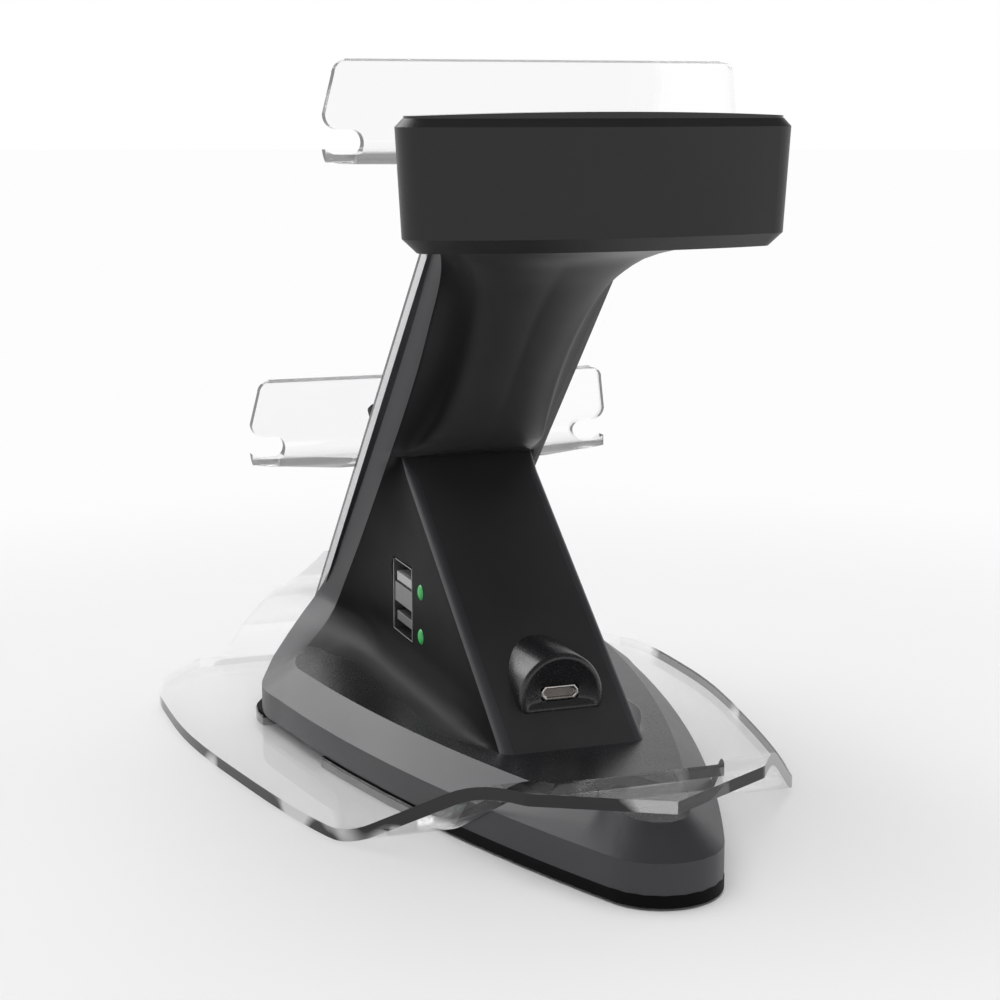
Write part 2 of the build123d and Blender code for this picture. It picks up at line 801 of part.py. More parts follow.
with BuildSketch() as tray_plan:
    with BuildLine():
        Line((0, tray_front_y), (tray_front_half, tray_front_y))
        Spline((tray_front_half, tray_front_y), *tray_side, tray_corner)
        Line(tray_corner, (tray_shelf_half, tray_shelf_y))
        Line((tray_shelf_half, tray_shelf_y), (0, tray_tip_y))
        mirror(about=Plane.YZ)
    make_face()
    fillet(tray_plan.vertices().group_by(Axis.Y)[0], 6.0)
    near_corners = tray_plan.vertices().sort_by_distance(tray_corner)[:1]
    far_corners = tray_plan.vertices().sort_by_distance((-tray_corner[0], tray_corner[1]))[:1]
    fillet(near_corners + far_corners, 9.0)
    shelf_ends = tray_plan.vertices().group_by(Axis.Y)[-2]
    fillet(shelf_ends, 3.0)

with BuildPart() as tray_ramp:
    with BuildSketch(Plane.YZ):
        with BuildLine():
            FilletPolyline(
                (tray_floor_end_y - 1, tray_thickness / 2),
                (tray_ramp_foot_y, tray_thickness / 2),
                (tray_ramp_head_y, tray_shelf_z),
                (tray_tip_y + 1, tray_shelf_z),
                radius=tray_ramp_bend,
            )
        trace(line_width=tray_thickness)
    extrude(amount=tray_reach / 2, both=True)
    with BuildSketch(Plane.XY.offset(-5)):
        add(tray_plan.sketch)
    extrude(amount=60, mode=Mode.INTERSECT)

with BuildPart() as tray_flap:
    with BuildSketch(Plane.YZ):
        with BuildLine() as flap_run:
            bend_y = tray_front_y + tray_thickness / 2 + flap_bend
            bend_z = tray_thickness / 2 + flap_bend
            Line((bend_y + 0.2, tray_thickness / 2), (bend_y, tray_thickness / 2))
            RadiusArc((bend_y, tray_thickness / 2), (bend_y - flap_bend, bend_z), flap_bend)
            flap_y = bend_y - flap_bend
            FilletPolyline((flap_y, bend_z), (flap_y, flap_knee_z), *flap_line, radius=flap_curve)
        trace(line_width=tray_thickness)
    extrude(amount=tray_reach / 2, both=True)
    # Its sides close in towards the tower
    with BuildSketch(Plane.XZ):
        with BuildLine():
            Polyline((0, 0), (flap_foot + flap_splay, 0), (flap_foot, flap_foot_z))
            Spline((flap_foot, flap_foot_z), *flap_sides, (flap_half, flap_top_z))
            Line((flap_half, flap_top_z), (0, flap_top_z))
            mirror(about=Plane.YZ)
        make_face()
    extrude(amount=200, both=True, mode=Mode.INTERSECT)
    # It ends against the panel
    with BuildSketch(front_plane):
        with Locations((0, panel_low)):
            Rectangle(tray_reach, panel_high, align=(Align.CENTER, Align.MIN))
    extrude(amount=-100, mode=Mode.SUBTRACT)

with BuildPart() as tray_opening:
    add(base_sketch(-5, inset=-tray_gap))
    extrude(amount=60)
    with BuildSketch(Plane.XY.offset(-5)):
        with Locations((0, tray_opening_y)):
            Rectangle(tray_reach, 100, align=(Align.CENTER, Align.MIN))
    extrude(amount=60, mode=Mode.SUBTRACT)
    with BuildSketch(Plane.XY.offset(-5)):
        with Locations((tab_x + gap, tab_y)):
            Rectangle(20, tab_length - 2 * gap, align=(Align.MIN, Align.CENTER))
        with Locations((-tab_x - gap, tab_y)):
            Rectangle(20, tab_length - 2 * gap, align=(Align.MAX, Align.CENTER))
    extrude(amount=5 + tray_thickness, mode=Mode.SUBTRACT)

with BuildPart() as tray:
    with BuildSketch():
        add(tray_plan.sketch)
        with Locations((0, tray_floor_end_y)):
            Rectangle(tray_reach, 100, align=(Align.CENTER, Align.MIN), mode=Mode.SUBTRACT)
        with Locations((0, tray_front_y)):
            Rectangle(tray_reach, 4, align=(Align.CENTER, Align.MIN), mode=Mode.SUBTRACT)
    extrude(amount=tray_thickness)
    add(tray_ramp.part)
    add(tray_opening.part, mode=Mode.SUBTRACT)
    add(tray_flap.part)

nodes = {
    "housing": housing,
    "base_plate": base_plate,
    "rubber_feet": rubber_feet,
    "base_screws": base_screws,
    "base_weight": base_weight,
    "main_board": main_board,
    "head_shell": head_case,
    "head_lid": head_lid,
    "head_screws": head_screws,
    "front_frame": front_frame,
    "front_panel": front_panel,
    "charge_board_upper": charge_board_upper,
    "charge_board_lower": charge_board_lower,
    "upper_plug": upper_plug,
    "lower_plug": lower_plug,
    "grip_pads": grip_pads,
    "inlet_shell": inlet_shell,
    "inlet_tongue": inlet_tongue,
    "socket_board": socket_board,
    "socket_shell_left": socket_shell_left,
    "socket_shell_right": socket_shell_right,
    "socket_tongues_left": socket_tongues_left,
    "socket_tongues_right": socket_tongues_right,
    "lamps_left": lamps_left,
    "lamps_right": lamps_right,
    "upper_cradle": upper_cradle,
    "middle_cradle": middle_cradle,
    "tray": tray,
}
for name, piece in nodes.items():
    piece.part.label = name
    export_step(piece.part, f"parts/{name}.step")
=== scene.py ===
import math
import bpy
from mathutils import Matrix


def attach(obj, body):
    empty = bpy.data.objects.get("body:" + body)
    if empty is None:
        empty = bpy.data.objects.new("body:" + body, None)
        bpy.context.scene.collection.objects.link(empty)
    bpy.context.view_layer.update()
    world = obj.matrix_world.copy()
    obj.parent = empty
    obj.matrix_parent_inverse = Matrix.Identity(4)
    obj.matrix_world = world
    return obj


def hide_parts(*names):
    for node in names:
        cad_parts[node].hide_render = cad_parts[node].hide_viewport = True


bl_info = {
    "name": "Controller charging dock",
    "version": (1, 0, 0),
    "blender": (4, 5, 0),
    "location": "3D View > Sidebar > Dock",
    "description": "Dresses a charging dock for game controllers in moulded plastic, clear sheet and metal",
    "category": "Object",
}

import bmesh
import bpy
from bpy.props import FloatProperty, FloatVectorProperty, PointerProperty
from mathutils import Vector

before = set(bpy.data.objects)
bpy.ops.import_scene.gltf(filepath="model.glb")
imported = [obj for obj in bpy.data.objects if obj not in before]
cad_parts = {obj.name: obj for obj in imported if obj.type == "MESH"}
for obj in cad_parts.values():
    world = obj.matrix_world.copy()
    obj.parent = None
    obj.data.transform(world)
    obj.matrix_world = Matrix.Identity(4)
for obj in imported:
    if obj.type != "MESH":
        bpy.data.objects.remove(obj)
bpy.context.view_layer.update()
MM = 0.001


# Shader trees written as plain expressions


class Wire:
    """One output socket of a shader tree, on which sums and products build the nodes they need."""

    def __init__(self, recipe, socket):
        self.recipe = recipe
        self.socket = socket

    def _math(self, operation, first, second=None):
        values = {0: first}
        if second is not None:
            values[1] = second
        return self.recipe.node("ShaderNodeMath", {"operation": operation}, values)

    def __add__(self, other):
        return self._math("ADD", self, other)

    def __radd__(self, other):
        return self._math("ADD", other, self)

    def __sub__(self, other):
        return self._math("SUBTRACT", self, other)

    def __rsub__(self, other):
        return self._math("SUBTRACT", other, self)

    def __mul__(self, other):
        return self._math("MULTIPLY", self, other)

    def __rmul__(self, other):
        return self._math("MULTIPLY", other, self)

    def __pow__(self, other):
        return self._math("POWER", self, other)

    def size(self):
        """This value without its sign."""
        return self._math("ABSOLUTE", self)

    def spread(self, low, high, to_low=0.0, to_high=1.0, smooth=False):
        """This value carried from one range to another, held at both ends."""
        settings = {"interpolation_type": "SMOOTHSTEP" if smooth else "LINEAR", "clamp": True}
        return self.recipe.node(
            "ShaderNodeMapRange", settings, {0: self, 1: low, 2: high, 3: to_low, 4: to_high}
        )


class Recipe:
    """The node tree of a material or of the world."""

    def __init__(self, owner):
        owner.use_nodes = True
        self.owner = owner
        self.tree = owner.node_tree
        self.tree.nodes.clear()

    def node(self, kind, settings=None, sockets=None, out=0):
        """Adds a node, sets what it is, then feeds its sockets with values or wires."""
        made = self.tree.nodes.new(kind)
        for name, value in (settings or {}).items():
            setattr(made, name, value)
        for name, value in (sockets or {}).items():
            if isinstance(value, Wire):
                self.tree.links.new(value.socket, made.inputs[name])
            else:
                made.inputs[name].default_value = value
        return Wire(self, made.outputs[out]) if len(made.outputs) else made

    def place(self):
        """The point on the object, in metres."""
        return self.node("ShaderNodeTexCoord", out="Object")

    def parts(self, vector):
        """The three parts of a vector."""
        split = self.tree.nodes.new("ShaderNodeSeparateXYZ")
        self.tree.links.new(vector.socket, split.inputs[0])
        return [Wire(self, socket) for socket in split.outputs]

    def noise(self, scale, detail=2.0, rough=0.5, vector=None):
        """Cloudy noise with so many lumps to the metre."""
        sockets = {"Vector": vector or self.place(), "Scale": scale, "Detail": detail, "Roughness": rough}
        return self.node("ShaderNodeTexNoise", {}, sockets)

    def blend(self, factor, first, second):
        """One colour turning into another."""
        return self.node(
            "ShaderNodeMix", {"data_type": "RGBA"}, {0: factor, 6: first, 7: second}, out=2
        )

    def bump(self, height, distance, strength=1.0):
        """A fine relief."""
        return self.node("ShaderNodeBump", {}, {"Height": height, "Distance": distance, "Strength": strength})

    def surface(self, sockets):
        """The finished surface."""
        made = self.node("ShaderNodeBsdfPrincipled", {}, sockets)
        self.node("ShaderNodeOutputMaterial", {}, {"Surface": made})
        return self.owner


def rgb(colour, factor=1.0):
    """A colour property as the four numbers of a socket."""
    return (colour[0] * factor, colour[1] * factor, colour[2] * factor, 1.0)


def new_material(name):
    return Recipe(bpy.data.materials.new(name))


# Finishes


def moulded_plastic(name, colour, roughness, grain=1.0, specular=0.5, painted_shade_sides=None):
    """Moulded plastic with a fine spark-eroded grain. Faces turned towards X or away from it may take a
    colour of painted shade, and the other faces then get a clear coat.
    """
    recipe = new_material(name)
    fine = recipe.noise(2600.0, 2.0, 0.6)
    broad = recipe.noise(45.0, 3.0, 0.5)
    tint = recipe.blend(broad.spread(0.3, 0.7, 0.0, 1.0), rgb(colour, 0.85), rgb(colour, 1.15))
    rough = broad.spread(0.3, 0.7, roughness - 0.03, roughness + 0.03) + fine.spread(0.3, 0.7, -0.03, 0.03)
    extra = {}
    if painted_shade_sides:
        # Painted shade: the more a face turns towards X or away from it, the more it takes the given shade
        # colour, and the coat fades out there
        facing = recipe.parts(recipe.node("ShaderNodeNewGeometry", out="Normal"))[0].size()
        tint = recipe.blend(facing.spread(0.35, 0.85, smooth=True), tint, rgb(painted_shade_sides))
        extra = {"Coat Weight": facing.spread(0.2, 0.7, 0.45, 0.0, smooth=True), "Coat Roughness": 0.36}
    sockets = {
        "Base Color": tint,
        "Roughness": rough,
        "Normal": recipe.bump(fine, 0.00003 * grain, 0.6),
        "IOR": 1.5,
        "Specular IOR Level": specular,
        **extra,
    }
    return recipe.surface(sockets)


def gloss_plastic(name, colour, roughness):
    """Polished plastic with the faintest ripple."""
    recipe = new_material(name)
    ripple = recipe.noise(70.0, 2.0, 0.4)
    sockets = {
        "Base Color": rgb(colour),
        "Roughness": ripple.spread(0.3, 0.7, roughness, roughness * 1.4),
        "Normal": recipe.bump(ripple, 0.00002, 0.3),
        "IOR": 1.5,
    }
    return recipe.surface(sockets)


def sheet_metal(name, colour, roughness):
    """Drawn steel with fine rolling lines along Y."""
    recipe = new_material(name)
    run = recipe.node("ShaderNodeMapping", {}, {"Vector": recipe.place(), "Scale": (1.0, 0.08, 1.0)})
    lines = recipe.noise(5200.0, 2.0, 0.6, run)
    stain = recipe.noise(260.0, 3.0, 0.6)
    sockets = {
        "Base Color": recipe.blend(stain.spread(0.35, 0.7), rgb(colour), rgb(colour, 0.75)),
        "Metallic": 1.0,
        "Roughness": lines.spread(0.3, 0.7, roughness - 0.08, roughness + 0.1),
        "Normal": recipe.bump(lines, 0.00001, 0.5),
    }
    return recipe.surface(sockets)


def soft_rubber(name, colour):
    """Matt rubber with a dusty bloom."""
    recipe = new_material(name)
    dust = recipe.noise(900.0, 4.0, 0.6)
    sockets = {
        "Base Color": recipe.blend(dust.spread(0.4, 0.75), rgb(colour), rgb(colour, 1.8)),
        "Roughness": dust.spread(0.3, 0.7, 0.7, 0.85),
        "Normal": recipe.bump(dust, 0.00004, 0.5),
    }
    return recipe.surface(sockets)


def circuit_board(name, colour):
    """Solder-masked board with faint tracks under the mask."""
    recipe = new_material(name)
    tracks = recipe.node(
        "ShaderNodeTexVoronoi",
        {"feature": "DISTANCE_TO_EDGE", "distance": "CHEBYCHEV"},
        {"Vector": recipe.place(), "Scale": 420.0},
    )
    sockets = {
        "Base Color": recipe.blend(tracks.spread(0.05, 0.08), rgb(colour, 1.5), rgb(colour)),
        "Roughness": 0.35,
        "Normal": recipe.bump(tracks, 0.00002, 0.4),
    }
    return recipe.surface(sockets)


def lit_lamp(name, colour):
    """A small domed lamp with a soft glow in its middle."""
    recipe = new_material(name)
    haze = recipe.noise(900.0, 2.0, 0.5)
    sockets = {
        "Base Color": recipe.blend(haze.spread(0.3, 0.7), rgb(colour, 0.8), rgb(colour, 1.1)),
        "Roughness": 0.3,
        "Emission Color": rgb(colour),
        "Emission Strength": 0.25,
    }
    return recipe.surface(sockets)


def clear_sheet(name, ior, tint, across, limit, through):
    """Clear acrylic sheet. Its cut edges carry dark streaks of painted reflection, laid on in patches,
    standing for the dark things behind them.

    The edges are the faces whose normal's part along one axis is above a limit, or, where the limit is
    negative, below it.
    """
    recipe = new_material(name)
    haze = recipe.noise(38.0, 2.0, 0.4)
    solid = recipe.node(
        "ShaderNodeBsdfPrincipled",
        {},
        {
            "Base Color": rgb(tint),
            "Roughness": haze.spread(0.3, 0.7, 0.0, 0.015),
            "IOR": ior,
            "Transmission Weight": 1.0,
        },
    )
    facing = recipe.parts(recipe.node("ShaderNodeNewGeometry", out="True Normal"))[across].size()
    if limit > 0.0:
        cut = facing.spread(limit, limit + 0.1)
    else:
        cut = facing.spread(-limit, -limit - 0.1) * recipe.parts(recipe.place())[1].spread(-0.06, -0.055)
    # Painted reflection: in these noise patches a near-black surface covers the cut edges
    painted_reflection_patches = recipe.noise(34.0, 2.0, 0.5).spread(0.42, 0.45)
    dark = recipe.node(
        "ShaderNodeBsdfPrincipled", {}, {"Base Color": (0.004, 0.004, 0.004, 1.0), "Roughness": 0.12})
    straight = recipe.node("ShaderNodeBsdfTransparent", {}, {"Color": (1.0, 1.0, 1.0, 1.0)})
    share = cut.spread(0.0, 1.0, through, 0.0)
    face = recipe.node("ShaderNodeMixShader", {}, {0: share, 1: solid, 2: straight})
    edged = recipe.node("ShaderNodeMixShader", {}, {0: cut * painted_reflection_patches, 1: face, 2: dark})
    passed = recipe.node("ShaderNodeBsdfTransparent", {}, {"Color": (0.985, 0.985, 0.985, 1.0)})
    shadow = recipe.node("ShaderNodeLightPath", out="Is Shadow Ray")
    mixed = recipe.node("ShaderNodeMixShader", {}, {0: shadow, 1: edged, 2: passed})
    recipe.node("ShaderNodeOutputMaterial", {}, {"Surface": mixed})
    return recipe.owner


def studio_floor(name, reach):
    """A white floor that keeps the shadows near the dock and turns into plain white further out."""
    recipe = new_material(name)
    x, y, _ = recipe.parts(recipe.place())
    distance = (x * x + y * y) ** 0.5
    lit = recipe.node("ShaderNodeBsdfDiffuse", {}, {"Color": (0.92, 0.92, 0.925, 1.0)})
    plain = recipe.node("ShaderNodeEmission", {}, {"Color": (0.98, 0.98, 0.985, 1.0), "Strength": 1.0})
    fade = distance.spread(reach * 0.4, reach, 0.0, 1.0, smooth=True)
    mixed = recipe.node("ShaderNodeMixShader", {}, {0: fade, 1: lit, 2: plain})
    recipe.node("ShaderNodeOutputMaterial", {}, {"Surface": mixed})
    return recipe.owner


# Sizes and colours that a user would change


class DockFinishSettings(bpy.types.PropertyGroup):
    """Colours and roughness of the dock's finishes."""

    housing_colour: FloatVectorProperty(
        name="Housing colour", description="Colour of the moulded housing", subtype="COLOR",
        size=3, min=0.0, max=1.0, default=(0.029, 0.029, 0.030))
    housing_roughness: FloatProperty(
        name="Housing roughness", description="How matt the housing is", min=0.0, max=1.0,
        default=0.34, subtype="FACTOR")
    housing_specular: FloatProperty(
        name="Housing gloss", description="How strongly the housing reflects", min=0.0, max=1.0,
        default=0.02, subtype="FACTOR")
    trim_colour: FloatVectorProperty(
        name="Trim colour", description="Colour of the rim, the bevel and the band", subtype="COLOR",
        size=3, min=0.0, max=1.0, default=(0.03, 0.0305, 0.034))
    trim_roughness: FloatProperty(
        name="Trim roughness", description="How matt the rim, bevel and band are", min=0.0, max=1.0,
        default=0.4, subtype="FACTOR")
    frame_colour: FloatVectorProperty(
        name="Frame colour", description="Colour of the trim round the front panel", subtype="COLOR",
        size=3, min=0.0, max=1.0, default=(0.82, 0.825, 0.83))
    lamp_colour: FloatVectorProperty(
        name="Lamp colour", description="Colour of the lamps beside the sockets", subtype="COLOR",
        size=3, min=0.0, max=1.0, default=(0.02, 0.36, 0.07))
    sheet_ior: FloatProperty(
        name="Sheet refraction", description="Index of refraction of the clear sheet",
        min=1.0, max=2.0, default=1.49)


class DockStageSettings(bpy.types.PropertyGroup):
    """The camera and the light."""

    lens: FloatProperty(name="Lens", description="Focal length", default=74.15, unit="CAMERA")
    camera_place: FloatVectorProperty(
        name="Camera place", description="Where the camera stands", size=3,
        default=(0.13658, 0.38032, 0.12991), subtype="TRANSLATION", unit="LENGTH")
    camera_aim: FloatVectorProperty(
        name="Camera aim", description="Direction the camera looks in", size=3,
        default=(-0.33084, -0.92475, -0.18809), subtype="DIRECTION")
    floor_reach: FloatProperty(
        name="Floor reach", description="Distance at which the floor is plain white",
        default=0.32, unit="LENGTH")
    overhead_power: FloatProperty(
        name="Overhead light", description="Power of the light above", default=18.5, unit="POWER")
    rear_power: FloatProperty(
        name="Rear light", description="Power of the softbox beyond the dock", default=11.0, unit="POWER")


# Pieces


def cad(node):
    """The object of a CAD node."""
    return bpy.data.objects[node] if node in bpy.data.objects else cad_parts[node]


def paint(node, material):
    """Gives a CAD node its finish."""
    target = cad(node)
    target.data.materials.clear()
    target.data.materials.append(material)


def add_object(name, data):
    """Puts a new object in the scene."""
    made = bpy.data.objects.new(name, data)
    bpy.context.scene.collection.objects.link(made)
    return made


class DOCK_OT_stage(bpy.types.Operator):
    """Makes the floor, the lights and the camera"""

    bl_idname = "dock.stage"
    bl_label = "Stage"

    def execute(self, context):
        settings = context.scene.dock_stage
        scene = context.scene
        scene.view_settings.view_transform = "Standard"

        camera = add_object("camera", bpy.data.cameras.new("camera"))
        camera.data.lens = settings.lens
        camera.data.sensor_width = 36.0
        camera.data.clip_start = 0.01
        camera.data.clip_end = 50.0
        camera.location = settings.camera_place
        camera.rotation_mode = "QUATERNION"
        camera.rotation_quaternion = Vector(settings.camera_aim).to_track_quat("-Z", "Y")
        scene.camera = camera

        mesh = bpy.data.meshes.new("floor")
        shape = bmesh.new()
        bmesh.ops.create_circle(shape, cap_ends=True, segments=96, radius=6.0)
        shape.to_mesh(mesh)
        shape.free()
        floor = add_object("floor", mesh)
        mesh.materials.append(studio_floor("floor_white", settings.floor_reach))
        floor.location.z = -0.0002

        world = bpy.data.worlds.new("studio")
        scene.world = world
        sky = Recipe(world)
        direction = sky.node("ShaderNodeTexCoord", out="Generated")
        height = sky.parts(direction)[2]
        dim = height.spread(0.16, 0.6, 1.0, 0.12, smooth=True)
        white = sky.node("ShaderNodeBackground", {}, {"Color": (1.0, 1.0, 1.0, 1.0), "Strength": dim})
        sky.node("ShaderNodeOutputWorld", {}, {"Surface": white})

        overhead = self.lamp("overhead", settings.overhead_power, (0.0, 0.0, 1.3), (0.0, 0.0, 0.0), 1.6, 1.6)
        overhead.visible_glossy = False
        rear = self.lamp("rear_softbox", settings.rear_power, (0.62, -1.0, 0.84), (0.0, 0.0, 0.01), 1.1, 0.9)
        rear.visible_diffuse = False
        return {"FINISHED"}

    def lamp(self, name, power, place, target, width, height):
        """A soft rectangular light that looks at a point."""
        light = bpy.data.lights.new(name, "AREA")
        light.shape = "RECTANGLE"
        light.size = width
        light.size_y = height
        light.energy = power
        holder = add_object(name, light)
        holder.location = place
        holder.rotation_mode = "QUATERNION"
        holder.rotation_quaternion = (Vector(target) - Vector(place)).to_track_quat("-Z", "Y")
        holder.visible_camera = False
        holder.visible_transmission = False
        return holder


# The housing, in millimetres. Its rails run from the tail round the base and up the tower.

LEAN = math.tan(math.radians(44.4))
RIM_FOOT_Z = 2.5
RIM_TOP_Z = 8.0
BASE_TOP_Z = 13.0
RAMP_HALF = 14.2
RAMP_TOP = (-21.8, 58.4)
RAMP_FOOT_Y = 40.3
RAMP_EDGE = 2.0
FOOT_FILLET = 8.0
TAIL_Y = 89.0
TAIL_RADIUS = 11.3
TAIL_ANGLE = 20.0
CHAMFER_RUN = 6.0
LEDGE_Z = 17.9
SKIN = 4.95
WALL_COLUMNS = 34
EDGE_COLUMNS = 5
BACK_COLUMNS = 6

# The housing's level sections: so many steps up the sloping shoulder, then runs of a start, a rise and steps
SHOULDER_RISE = 6.6
SHOULDER_STEPS = 12
RUNS = ((19.6, 4.4, 4), (24.0, 34.4, 18), (58.4, 4.6, 8), (63.0, 43.0, 34))

# The housing's finishes, in the order of its material slots
TRIM, BLACK, TOP = range(3)

# The stacked sockets and their pocket, the lamps beside them, and the inlet in its boss
SOCKET_Y = (-28.85, -15.55)
SOCKET_Z = (20.45, 36.15)
POCKET_MIDDLE = (9.6, -22.2, 28.3)
POCKET_SIZE = (10.0, 13.9, 16.3)
LAMP_X = 14.0
LAMP_Y = -9.7
LAMP_HEIGHTS = (23.2, 32.5)
BOSS_RADIUS = 8.4
BOSS_Z = 20.8
BOSS_FOOT_Z = 17.6
INLET_Z = 21.4

# Height of the band's inner edge, that edge, and the outer ridge beside it
BAND = (
    (13.0, (28.6, -47.8), (35.2, -51.9, 10.3)),
    (14.8, (24.6, -52.4), (30.0, -58.9, 13.4)),
    (17.0, (21.4, -55.6), (25.4, -64.0, 16.5)),
    (19.6, (19.2, -57.4), (21.8, -66.4, 19.6)),
    (24.0, (17.9, -56.0), (20.1, -63.6, 24.0)),
    (36.0, (17.1, -45.0), (19.2, -50.9, 36.0)),
    (58.4, (16.6, -23.2), (18.8, -28.5, 58.4)),
    (69.0, (16.4, -13.0), (18.7, -18.1, 69.0)),
    (80.0, (16.5, -2.4), (18.7, -7.3, 80.0)),
    (90.0, (17.0, 7.0), (18.8, 2.5, 90.0)),
    (96.0, (17.4, 12.8), (19.0, 8.2, 96.0)),
    (100.0, (17.9, 16.2), (19.3, 11.2, 100.0)),
    (103.0, (18.6, 18.0), (19.7, 12.9, 103.0)),
    (106.0, (19.8, 19.4), (20.1, 14.0, 106.0)),
)
# Height of the neck's back corner, and the corner
NECK = (
    (58.4, (14.2, -21.8)),
    (60.5, (13.0, -14.0)),
    (64.0, (11.0, -7.6)),
    (69.0, (9.2, -1.6)),
    (80.0, (7.8, 8.4)),
    (90.0, (8.5, 17.9)),
    (96.0, (10.4, 25.0)),
    (100.0, (13.4, 31.3)),
    (103.0, (17.8, 37.7)),
    (106.0, (25.0, 53.3)),
)


def face_y(z):
    """The leaning front's place in Y at a height."""
    return -91.0 + z * LEAN


def ramp_y(z):
    """The ramp's place in Y at a height."""
    rise = (z - RAMP_TOP[1]) / (BASE_TOP_Z - RAMP_TOP[1])
    return RAMP_TOP[0] + (RAMP_FOOT_Y - RAMP_TOP[0]) * rise


def ease(value):
    value = min(max(value, 0.0), 1.0)
    return value * value * (3.0 - 2.0 * value)


def lerp(first, second, share):
    return tuple(a + (b - a) * share for a, b in zip(first, second))


def smooth_through(keys, points, key):
    """A point on the smooth curve through some points, each of which has a key."""
    last = len(keys) - 1
    step = max(i for i in range(last) if keys[i] <= key + 1e-9 or i == 0)
    width = keys[step + 1] - keys[step]
    share = (key - keys[step]) / width

    def slope(i):
        low, high = max(i - 1, 0), min(i + 1, last)
        return [(b - a) / (keys[high] - keys[low]) for a, b in zip(points[low], points[high])]

    cube = share ** 3
    square = share ** 2
    return tuple(
        (2 * cube - 3 * square + 1) * a + (cube - 2 * square + share) * width * slope_a
        + (3 * square - 2 * cube) * b + (cube - square) * width * slope_b
        for a, b, slope_a, slope_b in zip(points[step], points[step + 1], slope(step), slope(step + 1))
    )


def spaced(points, count):
    """The points of a line again, so many of them at equal steps."""
    lengths = [0.0]
    for first, second in zip(points, points[1:]):
        lengths.append(lengths[-1] + (Vector(second) - Vector(first)).length)
    result = []
    place = 0
    for i in range(count):
        target = lengths[-1] * i / (count - 1)
        while place < len(points) - 2 and lengths[place + 1] < target:
            place += 1
        share = (target - lengths[place]) / max(lengths[place + 1] - lengths[place], 1e-9)
        result.append(lerp(points[place], points[place + 1], min(max(share, 0.0), 1.0)))
    return result


def flank_line(inset):
    """Half the base's outline from the tail's middle to the shoulder, drawn in by an inset."""
    centre = TAIL_Y - TAIL_RADIUS
    radius = TAIL_RADIUS - inset
    line = []
    for i in range(17):
        angle = math.radians(90.0 + (TAIL_ANGLE - 90.0) * i / 16)
        line.append((radius * math.cos(angle), centre + radius * math.sin(angle)))
    # The long flank is one arc through three points
    a = Vector((TAIL_RADIUS * math.cos(math.radians(TAIL_ANGLE)),
                centre + TAIL_RADIUS * math.sin(math.radians(TAIL_ANGLE))))
    b = Vector((32.5, 17.0))
    c = Vector((42.0, -41.0))
    d = 2.0 * (a.x * (b.y - c.y) + b.x * (c.y - a.y) + c.x * (a.y - b.y))
    aa, bb, cc = a.length_squared, b.length_squared, c.length_squared
    middle = Vector((
        (aa * (b.y - c.y) + bb * (c.y - a.y) + cc * (a.y - b.y)) / d,
        (aa * (c.x - b.x) + bb * (a.x - c.x) + cc * (b.x - a.x)) / d,
    ))
    big = (a - middle).length - inset
    start = math.atan2(a.y - middle.y, a.x - middle.x)
    end = math.atan2(c.y - middle.y, c.x - middle.x)
    for i in range(1, 60):
        angle = start + (end - start) * i / 60
        place = (middle.x + big * math.cos(angle), middle.y + big * math.sin(angle))
        if place[1] > -28.0:
            line.append(place)
    return line


class Shell:
    """Collects the faces of a mesh whose left half mirrors its right half."""

    def __init__(self):
        self.points = []
        self.index = {}
        self.faces = []
        self.finishes = []

    def point(self, place):
        key = tuple(round(value, 3) for value in place)
        if key not in self.index:
            self.index[key] = len(self.points)
            self.points.append(key)
        return self.index[key]

    def face(self, places, finish=TRIM):
        for side in (1.0, -1.0):
            corners = []
            for x, y, z in places:
                corner = self.point((side * x, y, z))
                if corner not in corners:
                    corners.append(corner)
            if len(corners) > 2:
                self.faces.append(corners if side > 0 else corners[::-1])
                self.finishes.append(finish)

    def strip(self, first, second, finish=TRIM):
        """Quads between two lines with the same number of points."""
        for i in range(len(first) - 1):
            self.face((first[i], first[i + 1], second[i + 1], second[i]), finish)

    def sweep(self, first, second, steps, finish=TRIM):
        """Several strips between two lines with the same number of points."""
        lines = [[lerp(a, b, step / steps) for a, b in zip(first, second)] for step in range(steps + 1)]
        for line, following in zip(lines, lines[1:]):
            self.strip(line, following, finish)

    def to_middle(self, line):
        """A strip from a line to the plane of symmetry."""
        self.strip(line, [(0.0, y, z) for _, y, z in line])

    def build(self, name, materials, angle=32.0):
        mesh = bpy.data.meshes.new(name)
        mesh.from_pydata([Vector(p) * MM for p in self.points], [], self.faces)
        for material in materials:
            mesh.materials.append(material)
        mesh.polygons.foreach_set("material_index", self.finishes)
        shape = bmesh.new()
        shape.from_mesh(mesh)
        bmesh.ops.remove_doubles(shape, verts=shape.verts, dist=0.00001)
        bmesh.ops.recalc_face_normals(shape, faces=shape.faces)
        for face in shape.faces:
            face.smooth = True
        shape.to_mesh(mesh)
        shape.free()
        mesh.set_sharp_from_angle(angle=math.radians(angle))
        return add_object(name, mesh)


